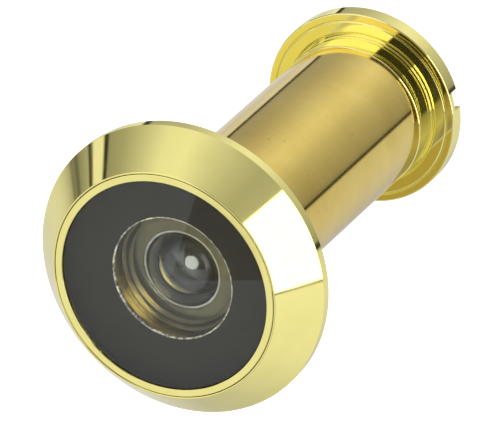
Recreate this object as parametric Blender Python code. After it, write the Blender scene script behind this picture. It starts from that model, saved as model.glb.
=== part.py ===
"""Door viewer for a 14 mm hole, as an assembly of separate pieces.

The viewing axis is Y. The origin is on that axis, in the plane of the outer face of the door leaf:
the exterior head stands out towards -Y, and the lens tube and the interior sleeve run towards +Y.
Angles about the axis are measured from +Z towards +X, the way a right-hand screw turns about +Y.
"""

import math

import bmesh
import bpy

# --- Driving dimensions, in metres -----------------------------------------------------------------

BARREL_RADIUS = 0.0070  # outside of the sleeve: the 14 mm barrel
DOOR_MIN = 0.0350  # thinnest door leaf that the viewer clamps
UNSCREWED = 0.0008  # how far the interior flange is backed off from that setting

HEAD_RADIUS = 0.01355
HEAD_HEIGHT = 0.0047
HEAD_RIM = 0.0010  # straight edge of the head, under its cone
LENS_POCKET_RADIUS = 0.0105
LENS_POCKET_DEPTH = 0.00325
FRONT_LAND = 0.00015  # flat left between the lens pocket and the cone
THROAT_RADIUS = 0.0063  # first step of the bore behind the objective lens
THROAT_DEPTH = 0.00075
TUBE_BORE_RADIUS = 0.0047
LIP_WIDTH = 0.0007  # lip in front of the bore, which stops the lens stack
LIP_LENGTH = 0.0008
SEAT_RELIEF_GAP = 0.0004  # recess in the seat of the head, which is wider than the barrel by this
SEAT_RELIEF_DEPTH = 0.0002

THREAD_PITCH = 0.0010
THREAD_ROOT_RADIUS = 0.00545  # root of the male thread
THREAD_DEPTH = 0.00045
THREAD_CLEARANCE = 0.00012
THREAD_RELIEF = 0.0010  # plain stretch of tube next to the head
NUT_THREAD_LENGTH = 0.0080
SLEEVE_BORE_RADIUS = 0.00615
SLEEVE_EDGE = 0.0002  # chamfer at the open end of the sleeve
END_CLEARANCE = 0.0005  # left at both ends when the viewer is screwed fully home

FLANGE_RADIUS = 0.00915
FLANGE_THICKNESS = 0.0017
FLANGE_EDGE = 0.0001
NECK_STEP = 0.00005  # how much the polished neck stands proud of the sleeve
NECK_LENGTH = 0.0027
UNDERCUT_DEPTH = 0.00015
UNDERCUT_WIDTH = 0.0005
SPIGOT_LENGTH = 0.0020
EYEPIECE_BORE_RADIUS = 0.0056
EYE_RECESS_WIDTH = 0.0008
EYE_RECESS_DEPTH = 0.0006
EYEPIECE_SHOULDER = 0.0032  # how far the shoulder lies in front of the flange's seat
SPIGOT_BORE_RADIUS = 0.0046
COIN_SLOT_WIDTH = 0.0017
COIN_SLOT_DEPTH = 0.0011
COIN_SLOT_ANGLE = math.radians(76.4)

BEZEL_WIDTH = 0.00065
BEZEL_LIP = 0.0005  # straight part of the bezel's bore
OBJECTIVE_THICKNESS = 0.0026
OBJECTIVE_SUNK = 0.0002  # how far the glass lies behind the front of the bezel
WINDOW_RADIUS = 0.00565
WINDOW_DEPTH = 0.0007
MASK_THICKNESS = 0.00035
SECOND_LENS_THICKNESS = 0.00145
SECOND_DOME_RISE = 0.00187
SECOND_HOLLOW_RADIUS = 0.0030
SECOND_HOLLOW_DEPTH = 0.0015
SPACER_LENGTH = 0.0035
STACK_RING_WALL = 0.00075
THIRD_LENS_THICKNESS = 0.0010
THIRD_DOME_RISE = 0.00096
RETAINER_LENGTH = 0.0015
RETAINER_SLOT_WIDTH = 0.0008
RETAINER_SLOT_DEPTH = 0.0006

STOP_APERTURE_RADIUS = 0.0030
STOP_PLATE = 0.00035
STOP_LENGTH = 0.00135
EYE_RING_WALL = 0.00095
EYEPIECE_THICKNESS = 0.0010
EYEPIECE_DOME_RISE = 0.00084
EYE_RING_LENGTH = 0.0011
EYE_RING_SLOT_WIDTH = 0.0009
EYE_RING_SLOT_DEPTH = 0.0005

FIT = 0.00005  # gap between pieces that touch
DOME_GAP = 0.0001  # gap between the edge of a lens face and the ring round it
SEGMENTS = 40  # sides of every turned piece
DOME_STEPS = 6  # chords from the edge of a lens face to its middle
WELD = 0.000001  # points closer than this are one point
SHARP = math.radians(35)

# --- Sizes that follow ------------------------------------------------------------------------------

DOOR_SET = DOOR_MIN + UNSCREWED
HEAD_FRONT = -HEAD_HEIGHT
POCKET_FLOOR = HEAD_FRONT + LENS_POCKET_DEPTH
THROAT_FLOOR = POCKET_FLOOR + THROAT_DEPTH
LIP_REAR = THROAT_FLOOR + LIP_LENGTH
TUBE_END = DOOR_MIN - NECK_LENGTH - SPIGOT_LENGTH - END_CLEARANCE
SLEEVE_FRONT = END_CLEARANCE - DOOR_MIN  # measured from the seat of the interior flange
SEAT_RELIEF_RADIUS = BARREL_RADIUS + SEAT_RELIEF_GAP
NECK_RADIUS = BARREL_RADIUS + NECK_STEP
LENS_RADIUS = LENS_POCKET_RADIUS - FIT
BEZEL_INNER_RADIUS = LENS_RADIUS - BEZEL_WIDTH
LIP_RADIUS = TUBE_BORE_RADIUS - LIP_WIDTH
STACK_RADIUS = TUBE_BORE_RADIUS - FIT
STACK_RING_BORE = STACK_RADIUS - STACK_RING_WALL
EYE_STACK_RADIUS = EYEPIECE_BORE_RADIUS - FIT
EYE_RING_BORE = EYE_STACK_RADIUS - EYE_RING_WALL

# --- Materials --------------------------------------------------------------------------------------


def make_material(name, colour, roughness, metallic, transmission=0.0):
    material = bpy.data.materials.new(name)
    material.use_nodes = True
    shader = material.node_tree.nodes["Principled BSDF"]
    shader.inputs["Base Color"].default_value = (*colour, 1.0)
    shader.inputs["Roughness"].default_value = roughness
    shader.inputs["Metallic"].default_value = metallic
    shader.inputs["Transmission Weight"].default_value = transmission
    material.diffuse_color = (*colour, 1.0)
    return material


def polished_brass(piece):
    return make_material(f"{piece} polished brass", (0.80, 0.68, 0.25), 0.12, 1.0)


def satin_brass(piece):
    return make_material(f"{piece} satin brass", (0.66, 0.56, 0.24), 0.38, 1.0)


def black_plastic(piece):
    return make_material(f"{piece} black plastic", (0.01, 0.01, 0.01), 0.35, 0.0)


def clear_glass(piece):
    return make_material(f"{piece} glass", (0.92, 0.96, 0.95), 0.03, 0.0, 0.9)


# --- Shapes -----------------------------------------------------------------------------------------


def add_object(name, mesh, material, unit, station=0.0):
    """Puts a mesh in the scene as a child of its unit, with its origin on the axis at the station."""
    mesh.materials.append(material)
    mesh.shade_smooth()
    mesh.set_sharp_from_angle(angle=SHARP)
    piece = bpy.data.objects.new(name, mesh)
    bpy.context.collection.objects.link(piece)
    piece.parent = unit
    piece.location = (0.0, station, 0.0)
    return piece


def finished_mesh(name, shape):
    bmesh.ops.remove_doubles(shape, verts=shape.verts, dist=WELD)
    bmesh.ops.dissolve_degenerate(shape, edges=shape.edges, dist=WELD)
    bmesh.ops.recalc_face_normals(shape, faces=shape.faces)
    mesh = bpy.data.meshes.new(name)
    shape.to_mesh(mesh)
    shape.free()
    return mesh


def turned(name, outline):
    """A mesh spun about Y from (radius, y) points. An outline that starts on the axis also ends there."""
    shape = bmesh.new()
    verts = [shape.verts.new((radius, y, 0.0)) for radius, y in outline]
    edges = [shape.edges.new(pair) for pair in zip(verts, verts[1:])]
    if outline[0][0] > 0.0:
        edges.append(shape.edges.new((verts[-1], verts[0])))
    bmesh.ops.spin(
        shape,
        geom=verts + edges,
        cent=(0.0, 0.0, 0.0),
        axis=(0.0, 1.0, 0.0),
        angle=math.tau,
        steps=SEGMENTS,
        use_merge=True,
    )
    return finished_mesh(name, shape)


def turned_ring(name, bore, radius, length):
    return turned(name, [(bore, 0.0), (radius, 0.0), (radius, length), (bore, length)])


def dome(radius, rise, y, towards):
    """Points of a round lens face, from its edge at y to its middle, which lies towards +Y or -Y."""
    curve = (radius**2 + rise**2) / (2 * rise)
    spread = math.asin(radius / curve)
    points = []
    for step in range(DOME_STEPS + 1):
        angle = spread * (1 - step / DOME_STEPS)
        height = curve * (math.cos(angle) - math.cos(spread))
        points.append((curve * math.sin(angle), y + towards * height))
    return points


def thread_rise(station, angle):
    """0 in the root of the male thread and 1 on its crest: a right-hand helix about +Y."""
    turns = station / THREAD_PITCH - angle / math.tau
    return 1 - 2 * abs(turns - math.floor(turns) - 0.5)


def thread_stations(start, end, angle):
    """Where the crests and roots cross this angle, held between the two ends of the thread."""
    first = math.floor(2 * (start / THREAD_PITCH - 1))
    last = math.ceil(2 * end / THREAD_PITCH)
    found = [THREAD_PITCH * (half / 2 + angle / math.tau) for half in range(first, last + 1)]
    return [min(max(station, start), end) for station in found]


def male_thread(start, end, angle):
    """(radius, station) along a male thread, whose ends run out into its root."""
    points = []
    for station in thread_stations(start, end, angle):
        height = THREAD_DEPTH * thread_rise(station, angle)
        height = min(height, station - start, end - station)
        points.append((THREAD_ROOT_RADIUS + height, station))
    return points


def female_thread(start, end, angle):
    """(radius, station) along the thread that runs on the male one with the thread's clearance."""
    points = []
    for station in thread_stations(start, end, angle):
        height = THREAD_DEPTH * (1 - thread_rise(station, angle))
        height = min(height, station - start, end - station)
        points.append((THREAD_ROOT_RADIUS + THREAD_CLEARANCE + THREAD_DEPTH - height, station))
    return points


def threaded(name, outline_at):
    """A mesh of columns about Y: outline_at(angle) gives the closed (radius, y) outline at an angle."""
    shape = bmesh.new()
    columns = []
    for step in range(SEGMENTS + 1):
        angle = math.tau * step / SEGMENTS
        across, up = math.sin(angle), math.cos(angle)
        outline = outline_at(angle)
        columns.append([shape.verts.new((r * across, y, r * up)) for r, y in outline])
    for near, far in zip(columns, columns[1:]):
        for i in range(len(near)):
            shape.faces.new((near[i - 1], near[i], far[i], far[i - 1]))
    return finished_mesh(name, shape)


def cut_slot(piece, width, low, high, reach, angle=0.0):
    """Cuts a straight slot across the axis, between two heights along Y, with an exact Boolean."""
    mesh = bpy.data.meshes.new(f"{piece.name}_slot_cutter")
    shape = bmesh.new()
    bmesh.ops.create_cube(shape, size=1.0)
    bmesh.ops.scale(shape, vec=(width, high - low, 2 * reach), verts=shape.verts)
    bmesh.ops.translate(shape, vec=(0.0, (low + high) / 2, 0.0), verts=shape.verts)
    shape.to_mesh(mesh)
    shape.free()
    cutter = bpy.data.objects.new(mesh.name, mesh)
    bpy.context.collection.objects.link(cutter)
    cutter.parent = piece
    cutter.rotation_euler = (0.0, angle, 0.0)
    cutter.hide_render = True
    cutter.display_type = "WIRE"
    slot = piece.modifiers.new("slot", "BOOLEAN")
    slot.operation = "DIFFERENCE"
    slot.solver = "EXACT"
    slot.object = cutter


# --- Exterior unit ----------------------------------------------------------------------------------


def make_front_housing(unit):
    """Bevelled head with the lens pocket, and the threaded tube that holds the lens stack."""
    def outline_at(angle):
        head = [
            (LENS_POCKET_RADIUS, HEAD_FRONT),
            (LENS_POCKET_RADIUS + FRONT_LAND, HEAD_FRONT),
            (HEAD_RADIUS, -HEAD_RIM),
            (HEAD_RADIUS, 0.0),
            (SEAT_RELIEF_RADIUS, 0.0),
            (SEAT_RELIEF_RADIUS, -SEAT_RELIEF_DEPTH),
            (THREAD_ROOT_RADIUS, -SEAT_RELIEF_DEPTH),
        ]
        bore = [
            (TUBE_BORE_RADIUS, TUBE_END),
            (TUBE_BORE_RADIUS, LIP_REAR),
            (LIP_RADIUS, LIP_REAR),
            (LIP_RADIUS, THROAT_FLOOR),
            (THROAT_RADIUS, THROAT_FLOOR),
            (THROAT_RADIUS, POCKET_FLOOR),
            (LENS_POCKET_RADIUS, POCKET_FLOOR),
        ]
        return head + male_thread(THREAD_RELIEF, TUBE_END, angle) + bore

    mesh = threaded("front_housing", outline_at)
    return add_object("front_housing", mesh, polished_brass("front housing"), unit)


def make_lens_bezel(unit):
    """Ring pressed in at the front of the pocket. Its cone bears on the chamfer of the objective lens."""
    cone_end = BEZEL_LIP + BEZEL_WIDTH
    outline = [
        (BEZEL_INNER_RADIUS, 0.0),
        (LENS_RADIUS, 0.0),
        (LENS_RADIUS, cone_end),
        (BEZEL_INNER_RADIUS, BEZEL_LIP),
    ]
    mesh = turned("lens_bezel", outline)
    add_object("lens_bezel", mesh, polished_brass("lens bezel"), unit, HEAD_FRONT)


def make_objective_lens(unit):
    """Plano-concave lens: flat in front, with the deep round hollow of its window behind."""
    face_radius = BEZEL_INNER_RADIUS - FIT
    chamfer_start = BEZEL_LIP - OBJECTIVE_SUNK + FIT * math.sqrt(2) - FIT
    chamfer_end = chamfer_start + LENS_RADIUS - face_radius
    outline = [
        (0.0, 0.0),
        (face_radius, 0.0),
        (face_radius, chamfer_start),
        (LENS_RADIUS, chamfer_end),
        (LENS_RADIUS, OBJECTIVE_THICKNESS),
    ]
    outline += dome(WINDOW_RADIUS, WINDOW_DEPTH, OBJECTIVE_THICKNESS, -1)
    mesh = turned("objective_lens", outline)
    station = HEAD_FRONT + OBJECTIVE_SUNK
    add_object("objective_lens", mesh, clear_glass("objective lens"), unit, station)


def make_mask_ring(unit):
    """Black ring behind the objective lens, which leaves only the round window."""
    mesh = turned_ring("mask_ring", WINDOW_RADIUS, LENS_RADIUS, MASK_THICKNESS)
    station = HEAD_FRONT + OBJECTIVE_SUNK + OBJECTIVE_THICKNESS + FIT
    add_object("mask_ring", mesh, black_plastic("mask ring"), unit, station)


def make_second_lens(unit, station):
    """Meniscus lens whose dome faces the door's outer side, through the lip."""
    outline = dome(LIP_RADIUS - DOME_GAP, SECOND_DOME_RISE, 0.0, -1)[::-1]
    outline += [(STACK_RADIUS, 0.0), (STACK_RADIUS, SECOND_LENS_THICKNESS)]
    outline += dome(SECOND_HOLLOW_RADIUS, SECOND_HOLLOW_DEPTH, SECOND_LENS_THICKNESS, -1)
    mesh = turned("second_lens", outline)
    add_object("second_lens", mesh, clear_glass("second lens"), unit, station)
    return station + SECOND_LENS_THICKNESS + FIT


def make_lens_spacer(unit, station):
    mesh = turned_ring("lens_spacer", STACK_RING_BORE, STACK_RADIUS, SPACER_LENGTH)
    add_object("lens_spacer", mesh, black_plastic("lens spacer"), unit, station)
    return station + SPACER_LENGTH + FIT


def make_third_lens(unit, station):
    """Biconvex lens that gathers the rays of the first two."""
    radius = STACK_RING_BORE - DOME_GAP
    outline = dome(radius, THIRD_DOME_RISE, 0.0, -1)[::-1]
    outline += [(STACK_RADIUS, 0.0), (STACK_RADIUS, THIRD_LENS_THICKNESS)]
    outline += dome(radius, THIRD_DOME_RISE, THIRD_LENS_THICKNESS, 1)
    mesh = turned("third_lens", outline)
    add_object("third_lens", mesh, clear_glass("third lens"), unit, station)
    return station + THIRD_LENS_THICKNESS + FIT


def make_lens_retainer(unit, station):
    """Ring that closes the lens stack, with a slot for the tool that drives it in."""
    mesh = turned_ring("lens_retainer", STACK_RING_BORE, STACK_RADIUS, RETAINER_LENGTH)
    piece = add_object("lens_retainer", mesh, satin_brass("lens retainer"), unit, station)
    low = RETAINER_LENGTH - RETAINER_SLOT_DEPTH
    high = RETAINER_LENGTH + RETAINER_SLOT_DEPTH
    cut_slot(piece, RETAINER_SLOT_WIDTH, low, high, 2 * STACK_RADIUS)


# --- Interior unit: heights are measured from the seat of the interior flange --------------------------


def make_rear_sleeve(unit):
    """Barrel that screws over the tube: female thread at its open end, plain bore behind it."""
    nut_end = SLEEVE_FRONT + NUT_THREAD_LENGTH
    chamfer_radius = BARREL_RADIUS - SLEEVE_EDGE

    def outline_at(angle):
        nut = female_thread(SLEEVE_FRONT + DOOR_SET, nut_end + DOOR_SET, angle)
        bore = [(radius, station - DOOR_SET) for radius, station in nut]
        rear = [
            (SLEEVE_BORE_RADIUS, nut_end),
            (SLEEVE_BORE_RADIUS, -NECK_LENGTH),
            (BARREL_RADIUS, -NECK_LENGTH),
        ]
        front = [(BARREL_RADIUS, SLEEVE_FRONT + SLEEVE_EDGE), (chamfer_radius, SLEEVE_FRONT)]
        return bore + rear + front

    mesh = threaded("rear_sleeve", outline_at)
    add_object("rear_sleeve", mesh, satin_brass("rear sleeve"), unit)


def make_rear_flange(unit):
    """Polished neck and flange with the coin slot, plugged into the sleeve with its spigot."""
    spigot_radius = SLEEVE_BORE_RADIUS - FIT
    neck_start = FIT - NECK_LENGTH
    undercut_radius = NECK_RADIUS - UNDERCUT_DEPTH
    outline = [
        (SPIGOT_BORE_RADIUS, -NECK_LENGTH - SPIGOT_LENGTH),
        (spigot_radius, -NECK_LENGTH - SPIGOT_LENGTH),
        (spigot_radius, neck_start),
        (NECK_RADIUS, neck_start),
        (NECK_RADIUS, -UNDERCUT_WIDTH - UNDERCUT_DEPTH),
        (undercut_radius, -UNDERCUT_WIDTH),
        (undercut_radius, UNDERCUT_DEPTH),
        (NECK_RADIUS + UNDERCUT_DEPTH, UNDERCUT_DEPTH),
        (NECK_RADIUS + 2 * UNDERCUT_DEPTH, 0.0),
        (FLANGE_RADIUS - FLANGE_EDGE, 0.0),
        (FLANGE_RADIUS, FLANGE_EDGE),
        (FLANGE_RADIUS, FLANGE_THICKNESS - FLANGE_EDGE),
        (FLANGE_RADIUS - FLANGE_EDGE, FLANGE_THICKNESS),
        (EYEPIECE_BORE_RADIUS + EYE_RECESS_WIDTH, FLANGE_THICKNESS),
        (EYEPIECE_BORE_RADIUS, FLANGE_THICKNESS - EYE_RECESS_DEPTH),
        (EYEPIECE_BORE_RADIUS, -EYEPIECE_SHOULDER),
        (SPIGOT_BORE_RADIUS, -EYEPIECE_SHOULDER),
    ]
    mesh = turned("rear_flange", outline)
    piece = add_object("rear_flange", mesh, polished_brass("rear flange"), unit)
    low = FLANGE_THICKNESS - COIN_SLOT_DEPTH
    high = FLANGE_THICKNESS + COIN_SLOT_DEPTH
    cut_slot(piece, COIN_SLOT_WIDTH, low, high, 2 * FLANGE_RADIUS, COIN_SLOT_ANGLE)


def make_field_stop(unit, station):
    """Black cup with a small aperture, which keeps stray light out of the eyepiece."""
    outline = [
        (STOP_APERTURE_RADIUS, 0.0),
        (EYE_STACK_RADIUS, 0.0),
        (EYE_STACK_RADIUS, STOP_LENGTH),
        (EYE_RING_BORE, STOP_LENGTH),
        (EYE_RING_BORE, STOP_PLATE),
        (STOP_APERTURE_RADIUS, STOP_PLATE),
    ]
    mesh = turned("field_stop", outline)
    add_object("field_stop", mesh, black_plastic("field stop"), unit, station)
    return station + STOP_LENGTH + FIT


def make_eyepiece_lens(unit, station):
    radius = EYE_RING_BORE - DOME_GAP
    outline = dome(radius, EYEPIECE_DOME_RISE, 0.0, -1)[::-1]
    outline += [(EYE_STACK_RADIUS, 0.0), (EYE_STACK_RADIUS, EYEPIECE_THICKNESS)]
    outline += dome(radius, EYEPIECE_DOME_RISE, EYEPIECE_THICKNESS, 1)
    mesh = turned("eyepiece_lens", outline)
    add_object("eyepiece_lens", mesh, clear_glass("eyepiece lens"), unit, station)
    return station + EYEPIECE_THICKNESS + FIT


def make_eyepiece_retainer(unit, station):
    """Ring that holds the eyepiece lens, with a slot for the tool that drives it in."""
    mesh = turned_ring("eyepiece_retainer", EYE_RING_BORE, EYE_STACK_RADIUS, EYE_RING_LENGTH)
    piece = add_object("eyepiece_retainer", mesh, polished_brass("eyepiece retainer"), unit, station)
    low = EYE_RING_LENGTH - EYE_RING_SLOT_DEPTH
    high = EYE_RING_LENGTH + EYE_RING_SLOT_DEPTH
    cut_slot(piece, EYE_RING_SLOT_WIDTH, low, high, 2 * EYE_STACK_RADIUS, COIN_SLOT_ANGLE)


# --- Assembly ---------------------------------------------------------------------------------------


def clear_scene():
    for item in list(bpy.data.objects):
        bpy.data.objects.remove(item, do_unlink=True)


def make_unit(name, station):
    """An empty on the screw's axis, which carries the pieces of one unit."""
    unit = bpy.data.objects.new(name, None)
    unit.empty_display_size = BARREL_RADIUS
    unit.location = (0.0, station, 0.0)
    bpy.context.collection.objects.link(unit)
    return unit


def make_exterior_unit():
    unit = make_unit("exterior_unit", 0.0)
    make_front_housing(unit)
    make_lens_bezel(unit)
    make_objective_lens(unit)
    make_mask_ring(unit)
    station = make_second_lens(unit, LIP_REAR + FIT)
    station = make_lens_spacer(unit, station)
    station = make_third_lens(unit, station)
    make_lens_retainer(unit, station)


def make_interior_unit():
    unit = make_unit("interior_unit", DOOR_SET)
    make_rear_sleeve(unit)
    make_rear_flange(unit)
    station = make_field_stop(unit, FIT - EYEPIECE_SHOULDER)
    station = make_eyepiece_lens(unit, station)
    make_eyepiece_retainer(unit, station)


clear_scene()
make_exterior_unit()
make_interior_unit()
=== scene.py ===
import math

import bmesh
import bpy
import numpy as np
from mathutils import Matrix, Vector


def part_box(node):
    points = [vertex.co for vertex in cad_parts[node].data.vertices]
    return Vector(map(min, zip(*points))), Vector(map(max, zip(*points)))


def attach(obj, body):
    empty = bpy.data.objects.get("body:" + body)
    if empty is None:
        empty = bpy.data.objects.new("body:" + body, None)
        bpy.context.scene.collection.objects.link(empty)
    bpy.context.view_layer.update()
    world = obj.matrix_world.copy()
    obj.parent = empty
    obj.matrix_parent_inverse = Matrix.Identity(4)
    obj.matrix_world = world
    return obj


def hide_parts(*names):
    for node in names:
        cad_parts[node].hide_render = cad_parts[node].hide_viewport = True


bl_info = {
    "name": "Door Viewer",
    "version": (1, 0, 0),
    "blender": (4, 5, 0),
    "location": "View3D > Sidebar > Door Viewer",
    "description": "Makes the turned brass, the glass and the studio of a door viewer round its packed frame",
    "category": "Add Mesh",
}

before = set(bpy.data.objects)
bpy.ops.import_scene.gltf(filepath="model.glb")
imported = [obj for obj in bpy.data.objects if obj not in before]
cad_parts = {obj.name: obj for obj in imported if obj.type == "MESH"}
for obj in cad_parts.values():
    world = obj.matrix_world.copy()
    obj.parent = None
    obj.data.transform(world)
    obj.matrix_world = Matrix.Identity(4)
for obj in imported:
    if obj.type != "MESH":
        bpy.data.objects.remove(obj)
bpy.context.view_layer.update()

MM = 0.001
OUTER = "outer_assembly"
EYE = "eyepiece_unit"
INNER = "inner_assembly"


# --- Places and radii read from the frame, in millimetres ---------------------------------------------


def span(node):
    """Front, rear and radius of a turned node, whose axis is Y."""
    low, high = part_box(node)
    return low[1] / MM, high[1] / MM, high[0] / MM


HEAD_FRONT, TUBE_END, HEAD_RADIUS = span("front_housing")
GLASS_FRONT, GLASS_REAR, GLASS_RADIUS = span("objective_lens")
BEZEL_REAR = span("lens_bezel")[1]
MASK_FRONT, MASK_REAR, _ = span("mask_ring")
SPACER_FRONT, SPACER_REAR, STACK_RADIUS = span("lens_spacer")
SECOND_FRONT, SECOND_REAR, _ = span("second_lens")
THIRD_FRONT, THIRD_REAR, _ = span("third_lens")
RETAINER_FRONT, RETAINER_REAR, _ = span("lens_retainer")
SLEEVE_FRONT, SLEEVE_REAR, BARREL_RADIUS = span("rear_sleeve")
SPIGOT_FRONT, FLANGE_REAR, FLANGE_RADIUS = span("rear_flange")
STOP_FRONT, STOP_REAR, EYE_STACK_RADIUS = span("field_stop")
EYE_FRONT, EYE_REAR, _ = span("eyepiece_lens")
RING_FRONT, RING_REAR, _ = span("eyepiece_retainer")


# --- Settings -----------------------------------------------------------------------------------------


def length(name, description, default):
    """A size in metres, given here in millimetres."""
    return bpy.props.FloatProperty(
        name=name, description=description, default=default * MM, unit="LENGTH", precision=5
    )


def angle(name, description, default):
    """An angle, given here in degrees."""
    return bpy.props.FloatProperty(
        name=name, description=description, default=math.radians(default), unit="ROTATION"
    )


def colour(name, description, code):
    """A colour from its sRGB hex code."""
    return bpy.props.FloatVectorProperty(
        name=name, description=description, default=linear(code), size=4, subtype="COLOR", min=0.0, max=1.0
    )


def linear(code):
    """The linear RGBA of an sRGB hex code such as '#e0de90': the sRGB curve, undone."""
    parts = np.array([int(code[at : at + 2], 16) for at in (1, 3, 5)]) / 255
    low = parts / 12.92
    high = ((parts + 0.055) / 1.055) ** 2.4
    return (*np.where(parts <= 0.04045, low, high).tolist(), 1.0)


class HeadSettings(bpy.types.PropertyGroup):
    rim: length("Rim", "Straight edge of the head under its cone", 1.0)
    land: length("Front land", "Flat left between the lens pocket and the cone", 0.15)
    pocket_wall: length("Pocket gap", "Radial gap round the glass", 0.05)
    throat_radius: length("Throat radius", "First step of the bore behind the front glass", 6.3)
    throat_depth: length("Throat depth", "Depth of that step", 0.75)
    lip_width: length("Lip width", "Width of the lip that stops the lens stack", 0.7)
    lip_length: length("Lip length", "Length of that lip along the axis", 0.8)
    relief_radius: length("Seat relief radius", "Recess in the seat round the barrel", 7.4)
    relief_depth: length("Seat relief depth", "Depth of that recess", 0.2)
    terrace: length("Terrace", "Width of each ring turned in the funnel before the lip", 0.55)
    edge: length("Edge rounding", "Radius left on the turned edges by polishing", 0.08)


class ThreadSettings(bpy.types.PropertyGroup):
    pitch: length("Pitch", "Advance of the thread in one turn", 1.0)
    root: length("Root radius", "Radius of the male thread's root", 5.45)
    depth: length("Depth", "Height of the thread", 0.45)
    gap: length("Clearance", "Radial clearance between the two threads", 0.12)
    relief: length("Relief", "Plain stretch of tube next to the head", 1.0)
    nut: length("Nut thread", "Length of the female thread", 8.0)
    sleeve_bore: length("Sleeve bore", "Radius of the plain bore behind the nut thread", 6.15)


class GlassSettings(bpy.types.PropertyGroup):
    bezel_width: length("Bezel width", "Overlap of the bezel on the glass", 0.65)
    bezel_lip: length("Bezel lip", "Straight part of the bezel's bore", 0.5)
    window: length("Window radius", "Clear opening in the black coat", 5.65)
    window_depth: length("Window depth", "Depth of the hollow ground in the rear of the glass", 0.7)
    dome_gap: length("Dome gap", "Gap between a lens face and the ring round it", 0.1)
    hollow_radius: length("Hollow radius", "Hollow in the rear of the second lens", 3.0)
    hollow_depth: length("Hollow depth", "Depth of that hollow", 1.5)


class FlangeSettings(bpy.types.PropertyGroup):
    thickness: length("Thickness", "Thickness of the interior flange", 1.7)
    neck: length("Neck", "Length of the polished neck", 2.7)
    undercut: length("Undercut", "Depth of the relief in the corner of the seat", 0.15)
    undercut_width: length("Undercut width", "Length of that relief along the neck", 0.5)
    slot_width: length("Coin slot width", "Width of the slot for a coin", 1.7)
    slot_depth: length("Coin slot depth", "Depth of the slot for a coin", 1.1)
    slot_turn: angle("Coin slot turn", "Turn of the slot about the axis", 76.4)
    spigot_bore: length("Spigot bore", "Bore of the spigot inside the sleeve", 4.6)
    eye_bore: length("Eye bore", "Bore that holds the eyepiece", 5.6)
    eye_recess: length("Eye recess", "Width and rise of the dish round the eyepiece", 0.8)


class FinishSettings(bpy.types.PropertyGroup):
    polished: colour("Polished brass", "Colour that polished lacquered brass reflects", "#f7ee9c")
    satin: colour("Satin brass", "Colour that fine-turned brass reflects", "#f3dd85")
    black: colour("Black coat", "Black paint behind the glass", "#26251f")
    glass: colour("Glass", "Tint of the optical glass", "#fbfdfb")


class StudioSettings(bpy.types.PropertyGroup):
    azimuth: angle("Camera azimuth", "Turn of the camera round the viewer", 25.52)
    elevation: angle("Camera elevation", "Height angle of the camera", 25.59)
    distance: length("Camera distance", "From the camera to the front of the head", 752.8)
    aside: length("Camera aside", "Shift of the camera to its right", 6.586)
    above: length("Camera above", "Shift of the camera along its up direction", 5.974)
    lens: bpy.props.FloatProperty(name="Lens", description="Focal length in millimetres", default=654.9)
    floor_drop: length("Floor drop", "How far the floor lies under the head", 60.0)


# --- Surfaces -----------------------------------------------------------------------------------------


def rounded(corners, radius, steps=5):
    """The outline with each corner replaced by an arc of the given radius, tangent to both of its sides,
    and a support point just beyond each end of the arc, so that the flats between them shade flat.
    A corner on the axis, or one whose sides are too short, keeps its point. The outline is closed."""
    corners = np.asarray(corners, float)
    count = len(corners)
    points = []
    for i in range(count):
        here, before, after = corners[i], corners[i - 1], corners[(i + 1) % count]
        back, on = before - here, after - here
        reach = min(np.hypot(*back), np.hypot(*on))
        if here[0] < 1e-9 or reach < 1e-6 or radius <= 0:
            points.append(here[None])
            continue
        back, on = back / np.hypot(*back), on / np.hypot(*on)
        turn = math.acos(np.clip(-back @ on, -1, 1))
        if turn < math.radians(8):
            points.append(here[None])
            continue
        tangent = min(radius * math.tan(turn / 2), 0.35 * reach)
        size = tangent / math.tan(turn / 2)
        start, end = here + back * tangent, here + on * tangent
        middle = (back + on) / np.hypot(*(back + on))
        centre = here + middle * math.hypot(size, tangent)
        t = np.linspace(0, 1, steps + 1)[:, None]
        spread = math.sin(turn)
        arc = ((start - centre) * np.sin((1 - t) * turn) + (end - centre) * np.sin(t * turn)) / spread
        support = 0.12 * tangent
        points += [(start + back * support)[None], centre + arc, (end + on * support)[None]]
    return np.concatenate(points)


def spherical(radius, rise, y, towards, steps=28):
    """Outline of a lens face: the arc of the sphere through its edge circle at y, rising to the axis."""
    curve = (radius**2 + rise**2) / (2 * rise)
    spread = math.asin(radius / curve)
    turn = spread * (1 - np.linspace(0, 1, steps + 1))
    height = curve * (np.cos(turn) - math.cos(spread))
    return np.stack([curve * np.sin(turn), y + towards * height], 1)


def into_mesh(name, points, faces):
    """A smooth closed mesh from points in millimetres, with doubles merged and its faces outwards."""
    mesh = bpy.data.meshes.new(name)
    mesh.from_pydata(np.asarray(points) * MM, [], faces)
    shape = bmesh.new()
    shape.from_mesh(mesh)
    bmesh.ops.remove_doubles(shape, verts=shape.verts, dist=2e-8)
    bmesh.ops.dissolve_degenerate(shape, edges=shape.edges, dist=1e-8)
    bmesh.ops.recalc_face_normals(shape, faces=shape.faces)
    shape.to_mesh(mesh)
    shape.free()
    mesh.shade_smooth()
    mesh.set_sharp_from_angle(angle=math.radians(32))
    return mesh


def revolved(name, outline, sides=256):
    """Surface of revolution about Y: the point (r, y) of the closed outline goes to
    (r sin a, y, r cos a) for each angle a round the axis."""
    outline = np.asarray(outline, float)
    turn = np.linspace(0, math.tau, sides, endpoint=False)[:, None]
    r, y = outline[:, 0][None], outline[:, 1][None]
    points = np.stack([r * np.sin(turn), y + 0 * turn, r * np.cos(turn)], -1)
    return grid_mesh(name, points)


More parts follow.
